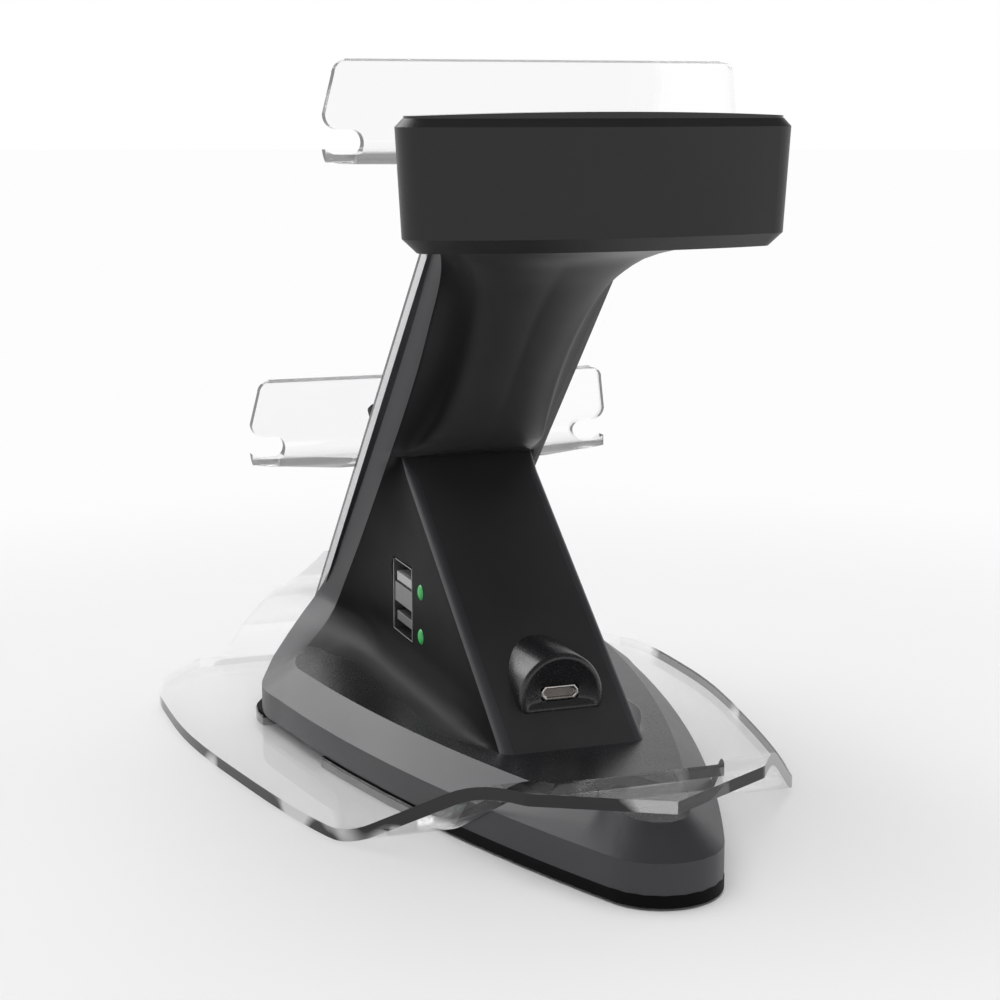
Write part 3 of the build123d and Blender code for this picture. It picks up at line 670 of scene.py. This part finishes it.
def ramp_section(z, inner, corner):
    """Half a level section of the wall, the ramp's edge and its back, from the band inwards."""
    x0, y0 = inner
    gx, gy = corner
    rise = z - BASE_TOP_Z
    reach = 20.0 + 9.0 * ease(rise / 12.0)
    reach = min(reach, (gy - y0) * 0.75)
    flare = 0.0
    if rise < FOOT_FILLET:
        flare = FOOT_FILLET - math.sqrt(max(FOOT_FILLET ** 2 - (FOOT_FILLET - rise) ** 2, 0.0))
    edge = min(RAMP_EDGE, (gy - y0) * 0.2)
    line = []
    for i in range(WALL_COLUMNS + 1):
        y = y0 + (gy - edge - y0) * i / WALL_COLUMNS
        near = min((y - y0) / reach, 1.0)
        x = gx + (x0 - gx) * (1.0 - near) ** 2.2
        x += flare * ease((y - y0) / 9.0) * ease((gy - y) / 22.0) * 0.9
        line.append((x, y, z))
    for i in range(1, EDGE_COLUMNS + 1):
        turn = math.pi / 2 * i / EDGE_COLUMNS
        line.append((gx - edge + edge * math.cos(turn), gy - edge + edge * math.sin(turn), z))
    start = line[-1][0]
    for i in range(1, BACK_COLUMNS + 1):
        line.append((start * (1.0 - i / BACK_COLUMNS), gy, z))
    return line


def neck_section(z, inner, corner):
    """Half a level section of the neck, from the band to the middle of its rounded back."""
    columns = WALL_COLUMNS + EDGE_COLUMNS + BACK_COLUMNS
    shoulder = lerp(inner, corner, 0.55)
    pull = (corner[0] + 1.5, corner[1] + 1.0)
    end = (0.0, corner[1])
    straight = 14
    line = []
    for i in range(straight):
        x, y = lerp(inner, shoulder, i / straight)
        dip = 0.5 * math.sin(math.pi * i / straight)
        line.append((x - dip, y, z))
    for i in range(columns + 1 - straight):
        share = i / (columns - straight)
        first = lerp(shoulder, pull, share)
        second = lerp(pull, end, share)
        x, y = lerp(first, second, share)
        line.append((x, y, z))
    return line


class DOCK_OT_housing(bpy.types.Operator):
    """Makes the housing: bevelled base, band, hollowed neck, ramp and inlet boss"""

    bl_idname = "dock.housing"
    bl_label = "Housing"

    def execute(self, context):
        band_keys = [row[0] for row in BAND]
        inners = [row[1] for row in BAND]
        ridges = [row[2] for row in BAND]
        neck_keys = [row[0] for row in NECK]
        corners = [row[1] for row in NECK]
        heights = [BASE_TOP_Z + SHOULDER_RISE * (i / SHOULDER_STEPS) for i in range(SHOULDER_STEPS + 1)]
        for start, rise, steps in RUNS:
            heights += [start + rise * i / steps for i in range(1, steps + 1)]

        shell = Shell()
        rows = []
        ridge_up = []
        for z in heights:
            inner = smooth_through(band_keys, inners, z)
            ridge_up.append(smooth_through(band_keys, ridges, z))
            if z <= RAMP_TOP[1] + 0.001:
                rows.append(ramp_section(z, inner, (RAMP_HALF, ramp_y(z))))
            else:
                corner = smooth_through(neck_keys, corners, z)
                turn = ease((z - RAMP_TOP[1]) / 5.0)
                lower = ramp_section(z, inner, corner)
                upper = neck_section(z, inner, corner)
                rows.append([lerp(a, b, turn) for a, b in zip(lower, upper)])
        # Partly a painted highlight: on the ramp the edge bead takes the trim finish, which is glossier than
        # the black and lacks its darker sides, so it shows as a light line; above the ramp it stays black
        bead = slice(WALL_COLUMNS, WALL_COLUMNS + EDGE_COLUMNS + 1)
        for z, first, second in zip(heights, rows, rows[1:]):
            on_ramp = z < RAMP_TOP[1] - 0.001
            shell.strip(first[:bead.start + 1], second[:bead.start + 1], BLACK)
            shell.strip(first[bead], second[bead], TRIM if on_ramp else BLACK)
            shell.strip(first[bead.stop - 1:], second[bead.stop - 1:], BLACK)

        # The flank's rails, from the tail's middle to where the band starts to climb
        count = WALL_COLUMNS + EDGE_COLUMNS + BACK_COLUMNS + 1
        outer = [(x, y, RIM_TOP_Z) for x, y in flank_line(0.0)]
        turn_out = [outer[-1], (41.5, -33.0, 8.0), (40.9, -39.0, 8.0), (38.6, -45.6, 8.2), ridge_up[0]]
        outer += self.rounded(turn_out)[1:]
        inset = [(x, y, BASE_TOP_Z) for x, y in flank_line(CHAMFER_RUN)]
        turn_in = [inset[-1], (35.0, -32.0, 13.0), (33.6, -38.0, 13.0), (31.4, -43.2, 13.0), rows[0][0]]
        inset += self.rounded(turn_in)[1:]
        outer = spaced(outer, count)
        inset = spaced(inset, count)
        inset[-1] = rows[0][0]
        outer[-1] = ridge_up[0]
        shell.sweep(inset, rows[0][::-1], 6, TOP)
        shell.sweep(outer + ridge_up[1:], inset + [row[0] for row in rows[1:]], 2)

        # The front: leaning face above, sloping shoulder below
        low = max(i for i, place in enumerate(outer) if place[2] <= RIM_TOP_Z + 0.02)
        upper = outer[low:] + ridge_up[1:SHOULDER_STEPS + 1]
        ledge_out = (19.8, face_y(LEDGE_Z), LEDGE_Z)
        ledge_in = (19.8, face_y(LEDGE_Z) + SKIN, LEDGE_Z + 0.05)
        upper = upper + [ledge_out, (0.0, *ledge_out[1:])]
        front = [outer[low], (22.9, -77.6, 8.0), (21.0, -81.2, 8.0), (18.0, -83.4, 8.0), (14.0, -84.0, 8.0),
                 (0.0, -84.0, 8.0)]
        lower = spaced(front, len(upper))
        shell.sweep(lower, upper, 4)
        shell.face((ridge_up[SHOULDER_STEPS], ledge_out, ledge_in))
        shell.strip([ledge_out, (0.0, *ledge_out[1:])], [ledge_in, (0.0, *ledge_in[1:])])
        leaning = [ledge_in]
        leaning += [(20.0, face_y(z) + SKIN, z) for _, _, z in ridge_up[SHOULDER_STEPS + 1:]]
        shell.strip(ridge_up[SHOULDER_STEPS:], leaning)
        shell.to_middle(leaning)

        # The upright rim, its underside and the closed top inside the head
        rim = outer[:low + 1] + lower[1:]
        rim_foot = [(x, y, RIM_FOOT_Z) for x, y, _ in rim]
        shell.strip(rim, rim_foot)
        shell.to_middle(rim_foot)
        shell.to_middle(rows[-1][::-1] + [ridge_up[-1], leaning[-1]])

        settings = context.scene.dock_finish
        trim = moulded_plastic("moulded_trim", settings.trim_colour, settings.trim_roughness)
        # Painted shade: the black finish's walls that face sideways take the darker colour 0.006
        deep = moulded_plastic("moulded_black_painted_shade", settings.housing_colour, settings.housing_roughness,
                               specular=settings.housing_specular, painted_shade_sides=(0.006, 0.006, 0.0063))
        top = moulded_plastic("moulded_top", (0.016, 0.016, 0.0175), 0.26, specular=0.6)
        housing = shell.build("dock_housing", (trim, deep, top))
        self.pocket(housing)
        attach(housing, "root")
        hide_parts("housing")

        boss = self.boss(top)
        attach(boss, "root")
        return {"FINISHED"}

    def rounded(self, knots, steps=8):
        """A smooth line through a few points."""
        keys = [0.0]
        for first, second in zip(knots, knots[1:]):
            keys.append(keys[-1] + (Vector(second) - Vector(first)).length)
        line = []
        for i in range(len(knots) - 1):
            for step in range(steps):
                line.append(smooth_through(keys, knots, keys[i] + (keys[i + 1] - keys[i]) * step / steps))
        return line + [tuple(knots[-1])]

    def pocket(self, housing):
        """Cuts the two openings that hold the stacked sockets."""
        mesh = bpy.data.meshes.new("pocket")
        shape = bmesh.new()
        for side in (1.0, -1.0):
            for corner in bmesh.ops.create_cube(shape, size=1.0)["verts"]:
                corner.co.x = side * POCKET_MIDDLE[0] * MM + corner.co.x * POCKET_SIZE[0] * MM
                corner.co.y = (POCKET_MIDDLE[1] + POCKET_SIZE[1] * corner.co.y) * MM
                corner.co.z = (POCKET_MIDDLE[2] + POCKET_SIZE[2] * corner.co.z) * MM
        bmesh.ops.recalc_face_normals(shape, faces=shape.faces)
        shape.to_mesh(mesh)
        shape.free()
        cutter = add_object("pocket", mesh)
        cut = housing.modifiers.new("pocket", "BOOLEAN")
        cut.operation = "DIFFERENCE"
        cut.object = cutter
        cut.solver = "EXACT"
        depsgraph = bpy.context.evaluated_depsgraph_get()
        result = bpy.data.meshes.new_from_object(housing.evaluated_get(depsgraph))
        housing.modifiers.clear()
        old = housing.data
        housing.data = result
        bpy.data.meshes.remove(old)
        bpy.data.objects.remove(cutter)
        housing.data.name = "dock_housing"

    def boss(self, material):
        """The round inlet boss with a dished face and a slot for the inlet."""
        turns = 72
        rings = []
        outline = ((BOSS_RADIUS, 0.0), (BOSS_RADIUS, 32.3), (8.25, 32.75), (7.9, 33.1), (7.5, 33.2),
                   (7.1, 33.1), (6.7, 32.75), (6.2, 32.45))
        for radius, y in outline:
            ring = []
            for i in range(turns):
                angle = 2.0 * math.pi * i / turns
                z = max(radius * math.sin(angle), BOSS_FOOT_Z - BOSS_Z + (BOSS_RADIUS - radius))
                ring.append((radius * math.cos(angle), y, BOSS_Z + z))
            rings.append(ring)
        for grow, y in ((0.35, 32.2), (0.0, 32.0), (0.0, 26.6)):
            ring = []
            for i in range(turns):
                angle = 2.0 * math.pi * i / turns
                c, s = math.cos(angle), math.sin(angle)
                x = math.copysign(abs(c) ** 0.35, c) * (3.86 + grow)
                z = math.copysign(abs(s) ** 0.45, s) * (1.52 + grow)
                ring.append((x, y, INLET_Z + z))
            rings.append(ring)
        made = lofted("inlet_boss", rings, (material,), smooth=True)
        made.data.set_sharp_from_angle(angle=math.radians(40))
        return made


# Small parts


def lofted(name, rings, materials, smooth=False):
    """A closed piece through rings of points, in millimetres, with a flat face at each end."""
    count = len(rings[0])
    points = [Vector(place) * MM for ring in rings for place in ring]
    faces = []
    for row in range(len(rings) - 1):
        for i in range(count):
            j = (i + 1) % count
            faces.append((row * count + i, row * count + j, (row + 1) * count + j, (row + 1) * count + i))
    faces.append(tuple(range(count)))
    last = (len(rings) - 1) * count
    faces.append(tuple(last + i for i in range(count)))
    mesh = bpy.data.meshes.new(name)
    mesh.from_pydata(points, [], faces)
    for material in materials:
        mesh.materials.append(material)
    shape = bmesh.new()
    shape.from_mesh(mesh)
    bmesh.ops.remove_doubles(shape, verts=shape.verts, dist=0.000002)
    bmesh.ops.recalc_face_normals(shape, faces=shape.faces)
    for face in shape.faces:
        face.smooth = smooth
    shape.to_mesh(mesh)
    shape.free()
    return add_object(name, mesh)


def bevelled(name, boxes, materials, width=0.12):
    """Closed bars of a small part, each given by its low corner, high corner and finish, with eased edges."""
    mesh = bpy.data.meshes.new(name)
    shape = bmesh.new()
    for low, high, finish in boxes:
        made = bmesh.ops.create_cube(shape, size=1.0)["verts"]
        for corner in made:
            for axis in range(3):
                span = high[axis] - low[axis]
                corner.co[axis] = ((low[axis] + high[axis]) / 2 + corner.co[axis] * span) * MM
        for face in {face for corner in made for face in corner.link_faces}:
            face.material_index = finish
    bmesh.ops.bevel(
        shape, geom=list(shape.edges), offset=width * MM, segments=2, profile=0.6, affect="EDGES",
        clamp_overlap=True)
    bmesh.ops.recalc_face_normals(shape, faces=shape.faces)
    shape.to_mesh(mesh)
    shape.free()
    for material in materials:
        mesh.materials.append(material)
    return add_object(name, mesh)


class Grower:
    """A Geometry Nodes tree with named inputs, which repeats a small part at the points of a mesh."""

    def __init__(self, name):
        self.tree = bpy.data.node_groups.new(name, "GeometryNodeTree")
        self.tree.interface.new_socket("Geometry", in_out="INPUT", socket_type="NodeSocketGeometry")
        self.tree.interface.new_socket("Geometry", in_out="OUTPUT", socket_type="NodeSocketGeometry")
        self.given = {}
        self.entry = None

    def ask(self, label, kind, value):
        """Adds a named input and what it is given."""
        socket = self.tree.interface.new_socket(label, in_out="INPUT", socket_type=kind)
        self.given[label] = (socket.identifier, value)

    def node(self, kind, settings=None, sockets=None):
        made = self.tree.nodes.new(kind)
        for name, value in (settings or {}).items():
            setattr(made, name, value)
        for name, value in (sockets or {}).items():
            if isinstance(value, str):
                self.tree.links.new(self.entry.outputs[value], made.inputs[name])
            elif isinstance(value, bpy.types.NodeSocket):
                self.tree.links.new(value, made.inputs[name])
            else:
                made.inputs[name].default_value = value
        return made

    def repeat(self, name, places, part):
        """Repeats a part at some places, in millimetres, and returns it as a plain mesh."""
        self.entry = self.tree.nodes.new("NodeGroupInput")
        leave = self.tree.nodes.new("NodeGroupOutput")
        spread = self.node("GeometryNodeInstanceOnPoints", {}, {"Points": "Geometry", "Instance": part(self)})
        whole = self.node("GeometryNodeRealizeInstances", {}, {"Geometry": spread.outputs[0]})
        smooth = self.node(
            "GeometryNodeSetShadeSmooth", {}, {"Geometry": whole.outputs[0], "Shade Smooth": True})
        dressed = self.node(
            "GeometryNodeSetMaterial", {}, {"Geometry": smooth.outputs[0], "Material": "Finish"})
        self.tree.links.new(dressed.outputs[0], leave.inputs[0])
        mesh = bpy.data.meshes.new(name)
        mesh.from_pydata([Vector(place) * MM for place in places], [], [])
        holder = add_object(name, mesh)
        grow = holder.modifiers.new("repeat", "NODES")
        grow.node_group = self.tree
        for identifier, value in self.given.values():
            grow[identifier] = value
        depsgraph = bpy.context.evaluated_depsgraph_get()
        result = bpy.data.meshes.new_from_object(holder.evaluated_get(depsgraph))
        holder.modifiers.clear()
        holder.data = result
        bpy.data.meshes.remove(mesh)
        result.set_sharp_from_angle(angle=math.radians(35))
        return holder


def lamp_dome(grower):
    """A round lamp that stands a little proud."""
    ball = grower.node("GeometryNodeMeshUVSphere", {}, {"Segments": 32, "Rings": 20, "Radius": "Lamp radius"})
    flat = grower.node("GeometryNodeTransform", {}, {"Geometry": ball.outputs[0], "Scale": (0.45, 1.0, 1.0)})
    return flat.outputs[0]


def screw_part(grower):
    """A countersunk screw with a crossed recess, head down."""
    head = grower.node(
        "GeometryNodeMeshCylinder", {}, {"Vertices": 32, "Radius": "Head radius", "Depth": "Head height"})
    bars = []
    for size in ((0.0034, 0.0006, 0.0008), (0.0006, 0.0034, 0.0008)):
        bar = grower.node("GeometryNodeMeshCube", {}, {"Size": size})
        bars.append(grower.node(
            "GeometryNodeTransform", {}, {"Geometry": bar.outputs[0], "Translation": (0.0, 0.0, -0.0004)}))
    cut = grower.node("GeometryNodeMeshBoolean", {"operation": "DIFFERENCE"}, {0: head.outputs[0]})
    for bar in bars:
        grower.tree.links.new(bar.outputs[0], cut.inputs[1])
    shaft = grower.node(
        "GeometryNodeMeshCylinder", {}, {"Vertices": 20, "Radius": "Shaft radius", "Depth": "Shaft length"})
    raised = grower.node(
        "GeometryNodeTransform", {}, {"Geometry": shaft.outputs[0], "Translation": (0.0, 0.0, 0.0026)})
    both = grower.tree.nodes.new("GeometryNodeJoinGeometry")
    grower.tree.links.new(cut.outputs[0], both.inputs[0])
    grower.tree.links.new(raised.outputs[0], both.inputs[0])
    return both.outputs[0]


class DOCK_OT_small_parts(bpy.types.Operator):
    """Makes the stacked sockets, the inlet, the lamps and the base's screws"""

    bl_idname = "dock.small_parts"
    bl_label = "Sockets, inlet, lamps and screws"

    def execute(self, context):
        settings = context.scene.dock_finish
        rim = sheet_metal("socket_rim", (0.3, 0.3, 0.3), 0.35)
        wall = moulded_plastic("socket_wall", (0.2, 0.2, 0.205), 0.4)
        tongue = moulded_plastic("socket_tongue", (0.5, 0.5, 0.5), 0.45)
        # Painted shade: the lower socket's tongue is the same plastic as the upper one, coloured darker
        shaded_tongue = moulded_plastic("socket_tongue_painted_shade", (0.13, 0.13, 0.13), 0.45)
        dark = moulded_plastic("socket_dark", (0.01, 0.01, 0.01), 0.6, specular=0.2)
        y0, y1 = SOCKET_Y
        z0, z1 = SOCKET_Z
        for side, word in ((1.0, "left"), (-1.0, "right")):
            bars = (
                ((14.3, y0, z1 - 0.3), (9.0, y1, z1), 0),
                ((14.3, y0, z0), (9.0, y1, z0 + 0.3), 0),
                ((14.3, y0, z0), (9.0, y0 + 0.3, z1), 0),
                ((14.3, y1 - 0.3, z0), (9.0, y1, z1), 0),
                ((14.0, y0 + 0.3, 26.7), (9.0, y1 - 0.3, 30.9), 1),
                ((13.9, y0 + 1.6, 31.4), (9.0, y1 - 0.5, 33.4), 2),
                ((13.9, y0 + 1.6, 22.8), (9.0, y1 - 0.5, 24.8), 3),
                ((9.5, y0, z0), (8.9, y1, z1), 4),
            )
            boxes = []
            for first, second, finish in bars:
                xs = sorted((side * first[0], side * second[0]))
                boxes.append(((xs[0], first[1], first[2]), (xs[1], second[1], second[2]), finish))
            made = bevelled("stacked_sockets_" + word, boxes, (rim, wall, tongue, shaded_tongue, dark))
            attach(made, "root")
            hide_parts("socket_shell_" + word, "socket_tongues_" + word)

        inlet = self.inlet()
        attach(inlet, "root")
        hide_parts("inlet_shell", "inlet_tongue")

        grower = Grower("lamp_domes")
        grower.ask("Lamp radius", "NodeSocketFloat", 0.00165)
        grower.ask("Finish", "NodeSocketMaterial", lit_lamp("lamp_green", settings.lamp_colour))
        places = [(side * LAMP_X, LAMP_Y, z) for side in (1.0, -1.0) for z in LAMP_HEIGHTS]
        lamps = grower.repeat("lamp_domes", places, lamp_dome)
        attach(lamps, "root")
        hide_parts("lamps_left", "lamps_right")

        grower = Grower("screws_below")
        grower.ask("Head radius", "NodeSocketFloat", 0.0026)
        grower.ask("Head height", "NodeSocketFloat", 0.0007)
        grower.ask("Shaft radius", "NodeSocketFloat", 0.0012)
        grower.ask("Shaft length", "NodeSocketFloat", 0.0048)
        grower.ask("Finish", "NodeSocketMaterial", sheet_metal("screw_zinc", (0.5, 0.5, 0.51), 0.35))
        places = [(25.0, -40.0, 1.05), (-25.0, -40.0, 1.05), (12.0, 50.0, 1.05), (-12.0, 50.0, 1.05)]
        screws = grower.repeat("screws_below", places, screw_part)
        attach(screws, "root")
        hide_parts("base_screws")
        return {"FINISHED"}

    def inlet(self):
        """The inlet: a bright six-sided rim round a set-back plate."""
        corners = ((-3.7, 0.35), (-2.95, 1.3), (2.95, 1.3), (3.7, 0.35),
                   (3.7, -0.45), (2.95, -1.3), (-2.95, -1.3), (-3.7, -0.45))
        outline = ((1.0, 26.7), (1.0, 32.05), (0.93, 32.1), (0.86, 32.0), (0.84, 31.5), (0.8, 31.4))
        rings = []
        for share, y in outline:
            slim = 1.0 - (1.0 - share) * 2.2
            rings.append([(x * share, y, INLET_Z + z * slim) for x, z in corners])
        rim = sheet_metal("inlet_rim", (0.6, 0.57, 0.54), 0.3)
        steel = sheet_metal("inlet_steel", (0.3, 0.27, 0.25), 0.45)
        made = lofted("inlet_plate", rings, (rim, steel))
        made.data.polygons[len(made.data.polygons) - 1].material_index = 1
        return made


class DOCK_OT_finishes(bpy.types.Operator):
    """Gives every piece its finish"""

    bl_idname = "dock.finishes"
    bl_label = "Finishes"

    def execute(self, context):
        settings = context.scene.dock_finish
        black = moulded_plastic("head_black", (0.011, 0.011, 0.0115), 0.4, specular=0.35)
        plate = moulded_plastic("plate_black", (0.003, 0.003, 0.0032), 0.5, specular=0.06)
        gloss = gloss_plastic("panel_gloss", (0.004, 0.004, 0.005), 0.06)
        silver = gloss_plastic("frame_silver", settings.frame_colour, 0.25)
        bright = sheet_metal("plug_steel", (0.44, 0.4, 0.37), 0.3)
        screw = sheet_metal("screw_steel", (0.5, 0.5, 0.51), 0.35)
        iron = sheet_metal("weight_iron", (0.3, 0.3, 0.31), 0.6)
        board = circuit_board("board_green", (0.012, 0.09, 0.04))
        rubber = soft_rubber("rubber_black", (0.008, 0.008, 0.008))
        cradle = clear_sheet("cradle_clear", settings.sheet_ior, (1.0, 1.0, 1.0), 0, 0.6, 0.2)
        tray = clear_sheet("tray_clear", settings.sheet_ior, (1.0, 1.0, 1.0), 2, -0.35, 0.75)
        for material, nodes in (
            (black, ("head_shell",)),
            (plate, ("base_plate",)),
            (gloss, ("front_panel", "head_lid")),
            (silver, ("front_frame",)),
            (bright, ("upper_plug", "lower_plug")),
            (screw, ("head_screws",)),
            (iron, ("base_weight",)),
            (board, ("main_board", "charge_board_upper", "charge_board_lower", "socket_board")),
            (rubber, ("rubber_feet", "grip_pads")),
            (cradle, ("upper_cradle", "middle_cradle")),
            (tray, ("tray",)),
        ):
            for node in nodes:
                paint(node, material)
        return {"FINISHED"}


class DOCK_PT_panel(bpy.types.Panel):
    """The dock's sizes, colours and steps"""

    bl_idname = "DOCK_PT_panel"
    bl_label = "Controller dock"
    bl_space_type = "VIEW_3D"
    bl_region_type = "UI"
    bl_category = "Dock"

    def draw(self, context):
        for group in (context.scene.dock_finish, context.scene.dock_stage):
            column = self.layout.column(align=True)
            for name in group.__annotations__:
                column.prop(group, name)
        steps = self.layout.column(align=True)
        for step in STEPS:
            steps.operator(step.bl_idname)


STEPS = (DOCK_OT_stage, DOCK_OT_housing, DOCK_OT_small_parts, DOCK_OT_finishes)
CLASSES = (DockFinishSettings, DockStageSettings) + STEPS + (DOCK_PT_panel,)


def register():
    for each in CLASSES:
        bpy.utils.register_class(each)
    bpy.types.Scene.dock_finish = PointerProperty(type=DockFinishSettings)
    bpy.types.Scene.dock_stage = PointerProperty(type=DockStageSettings)


def unregister():
    del bpy.types.Scene.dock_stage
    del bpy.types.Scene.dock_finish
    for each in reversed(CLASSES):
        bpy.utils.unregister_class(each)


def main():
    register()
    for step in STEPS:
        group, name = step.bl_idname.split(".")
        getattr(getattr(bpy.ops, group), name)()


if __name__ == "__main__":
    main()
